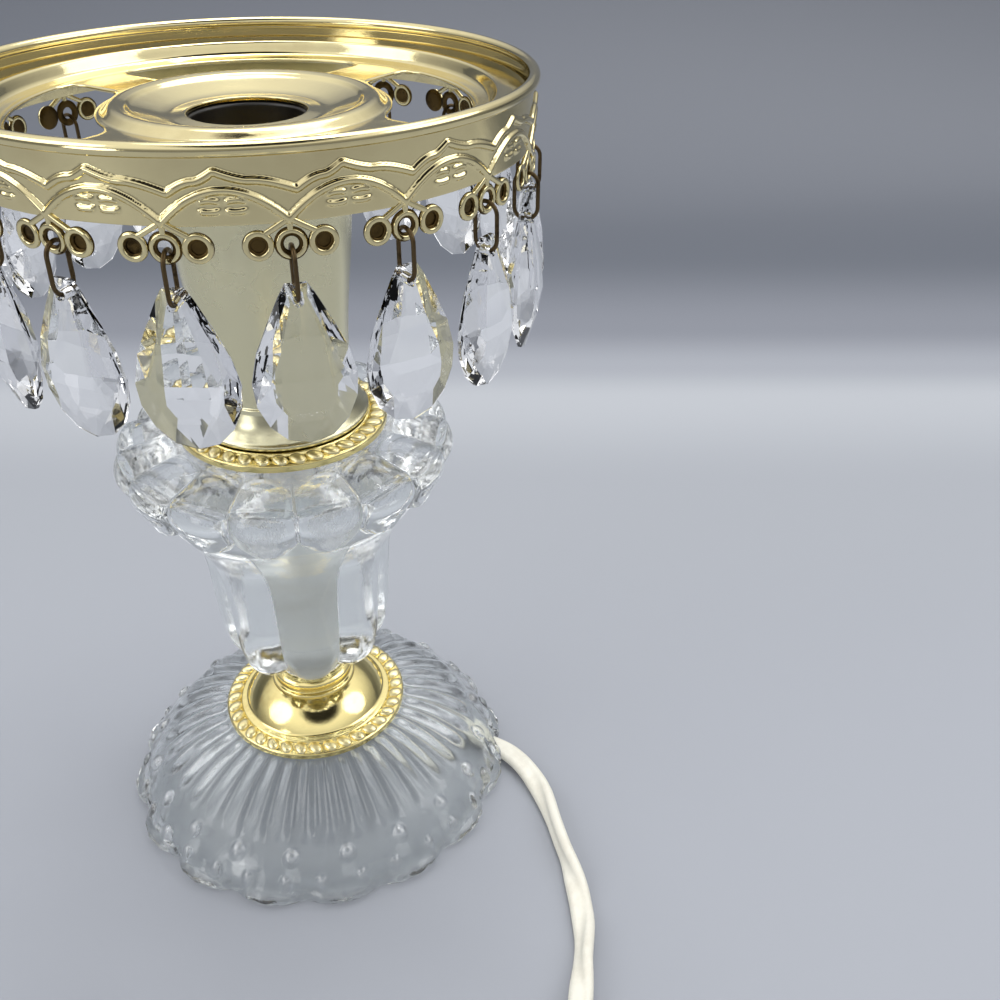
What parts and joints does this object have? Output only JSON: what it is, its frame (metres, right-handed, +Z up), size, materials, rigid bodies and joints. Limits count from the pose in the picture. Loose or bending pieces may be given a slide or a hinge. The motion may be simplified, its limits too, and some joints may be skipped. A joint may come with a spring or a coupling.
{
  "type": "boudoir table lamp",
  "caption": "Small table lamp: pressed-glass foot and fluted glass column with beaded brass caps, and a brass gallery ring hung with cut glass drops round a bulb socket.",
  "frame": {"origin": "middle of the foot's underside, on the table", "axes": "+Z up along the lamp's pipe; -Y is the side seen from the front; +X is the side where the cord leaves"},
  "size_m": [0.1484, 0.3145, 0.231],
  "materials": {
    "foot_glass": "pressed, clear",
    "column_glass": "pressed, clear",
    "crystal": "cut and polished",
    "bright_brass": "polished",
    "gallery_brass": "polished",
    "satin_brass": "satin",
    "steel": "plated",
    "phenolic": "moulded",
    "bronze_wire": "tarnished",
    "cord_vinyl": "soft vinyl",
    "white_plastic": "moulded"
  },
  "bodies": {
    "lamp": {"glass_foot": "foot_glass", "foot_washer": "steel", "foot_nut": "steel", "lamp_pipe": "steel", "lower_bead_cap": "bright_brass", "glass_column": "column_glass", "upper_bead_cap": "bright_brass", "pipe_lock_nut": "steel", "husk": "satin_brass", "gallery_ring": "gallery_brass", "gallery_pan": "gallery_brass", "socket_cap": "satin_brass", "socket_body": "phenolic", "screw_shell": "bright_brass", "centre_contact": "bright_brass", "cord_in_lamp": "cord_vinyl", "cord": "cord_vinyl", "cord_coil": "cord_vinyl", "switch_lower_shell": "white_plastic", "switch_upper_shell": "white_plastic", "plug_body": "cord_vinyl", "plug_blade_left": "bright_brass", "plug_blade_right": "bright_brass"},
    "drop_01": {"drop_link_01": "bronze_wire", "crystal_drop_01": "crystal"},
    "drop_02": {"drop_link_02": "bronze_wire", "crystal_drop_02": "crystal"},
    "drop_03": {"drop_link_03": "bronze_wire", "crystal_drop_03": "crystal"},
    "drop_04": {"drop_link_04": "bronze_wire", "crystal_drop_04": "crystal"},
    "drop_05": {"drop_link_05": "bronze_wire", "crystal_drop_05": "crystal"},
    "drop_06": {"drop_link_06": "bronze_wire", "crystal_drop_06": "crystal"},
    "drop_07": {"drop_link_07": "bronze_wire", "crystal_drop_07": "crystal"},
    "drop_08": {"drop_link_08": "bronze_wire", "crystal_drop_08": "crystal"},
    "drop_09": {"drop_link_09": "bronze_wire", "crystal_drop_09": "crystal"},
    "drop_10": {"drop_link_10": "bronze_wire", "crystal_drop_10": "crystal"},
    "drop_11": {"drop_link_11": "bronze_wire", "crystal_drop_11": "crystal"},
    "drop_12": {"drop_link_12": "bronze_wire", "crystal_drop_12": "crystal"},
    "drop_13": {"drop_link_13": "bronze_wire", "crystal_drop_13": "crystal"},
    "drop_14": {"drop_link_14": "bronze_wire", "crystal_drop_14": "crystal"},
    "drop_15": {"drop_link_15": "bronze_wire", "crystal_drop_15": "crystal"},
    "drop_16": {"drop_link_16": "bronze_wire", "crystal_drop_16": "crystal"},
    "drop_17": {"drop_link_17": "bronze_wire", "crystal_drop_17": "crystal"},
    "drop_18": {"drop_link_18": "bronze_wire", "crystal_drop_18": "crystal"},
    "switch_wheel": {"switch_wheel": "white_plastic"}
  },
  "joints": [
    {"name": "drop_swing_01", "type": "hinge", "parent": "lamp", "child": "drop_01", "pos_m": [0.00542, -0.06889, 0.21052], "axis": [-0.9969, -0.0785, 0], "range_deg": [-8, 35]},
    {"name": "drop_swing_02", "type": "hinge", "parent": "lamp", "child": "drop_02", "pos_m": [0.02865, -0.06288, 0.21052], "axis": [-0.91, -0.4147, 0], "range_deg": [-8, 35]},
    {"name": "drop_swing_03", "type": "hinge", "parent": "lamp", "child": "drop_03", "pos_m": [0.04843, -0.04929, 0.21052], "axis": [-0.7133, -0.7009, 0], "range_deg": [-8, 35]},
    {"name": "drop_swing_04", "type": "hinge", "parent": "lamp", "child": "drop_04", "pos_m": [0.06237, -0.02975, 0.21052], "axis": [-0.4305, -0.9026, 0], "range_deg": [-8, 35]},
    {"name": "drop_swing_05", "type": "hinge", "parent": "lamp", "child": "drop_05", "pos_m": [0.06878, -0.00662, 0.21052], "axis": [-0.0958, -0.9954, 0], "range_deg": [-8, 35]},
    {"name": "drop_swing_06", "type": "hinge", "parent": "lamp", "child": "drop_06", "pos_m": [0.0669, 0.0173, 0.21052], "axis": [0.2504, -0.9681, 0], "range_deg": [-8, 35]},
    {"name": "drop_swing_07", "type": "hinge", "parent": "lamp", "child": "drop_07", "pos_m": [0.05695, 0.03914, 0.21052], "axis": [0.5664, -0.8241, 0], "range_deg": [-8, 35]},
    {"name": "drop_swing_08", "type": "hinge", "parent": "lamp", "child": "drop_08", "pos_m": [0.04013, 0.05625, 0.21052], "axis": [0.8141, -0.5807, 0], "range_deg": [-8, 35]},
    {"name": "drop_swing_09", "type": "hinge", "parent": "lamp", "child": "drop_09", "pos_m": [0.01847, 0.06659, 0.21052], "axis": [0.9636, -0.2672, 0], "range_deg": [-8, 35]},
    {"name": "drop_swing_10", "type": "hinge", "parent": "lamp", "child": "drop_10", "pos_m": [-0.00542, 0.06889, 0.21052], "axis": [0.9969, 0.0785, 0], "range_deg": [-8, 35]},
    {"name": "drop_swing_11", "type": "hinge", "parent": "lamp", "child": "drop_11", "pos_m": [-0.02865, 0.06288, 0.21052], "axis": [0.91, 0.4147, 0], "range_deg": [-8, 35]},
    {"name": "drop_swing_12", "type": "hinge", "parent": "lamp", "child": "drop_12", "pos_m": [-0.04843, 0.04929, 0.21052], "axis": [0.7133, 0.7009, 0], "range_deg": [-8, 35]},
    {"name": "drop_swing_13", "type": "hinge", "parent": "lamp", "child": "drop_13", "pos_m": [-0.06237, 0.02975, 0.21052], "axis": [0.4305, 0.9026, 0], "range_deg": [-8, 35]},
    {"name": "drop_swing_14", "type": "hinge", "parent": "lamp", "child": "drop_14", "pos_m": [-0.06878, 0.00662, 0.21052], "axis": [0.0958, 0.9954, 0], "range_deg": [-8, 35]},
    {"name": "drop_swing_15", "type": "hinge", "parent": "lamp", "child": "drop_15", "pos_m": [-0.0669, -0.0173, 0.21052], "axis": [-0.2504, 0.9681, 0], "range_deg": [-8, 35]},
    {"name": "drop_swing_16", "type": "hinge", "parent": "lamp", "child": "drop_16", "pos_m": [-0.05695, -0.03914, 0.21052], "axis": [-0.5664, 0.8241, 0], "range_deg": [-8, 35]},
    {"name": "drop_swing_17", "type": "hinge", "parent": "lamp", "child": "drop_17", "pos_m": [-0.04013, -0.05625, 0.21052], "axis": [-0.8141, 0.5807, 0], "range_deg": [-8, 35]},
    {"name": "drop_swing_18", "type": "hinge", "parent": "lamp", "child": "drop_18", "pos_m": [-0.01847, -0.06659, 0.21052], "axis": [-0.9636, 0.2672, 0], "range_deg": [-8, 35]},
    {"name": "switch_wheel_turn", "type": "hinge", "parent": "lamp", "child": "switch_wheel", "pos_m": [0.05041, -0.15116, 0.007], "axis": [0, 0, 1], "continuous": true}
  ]
}
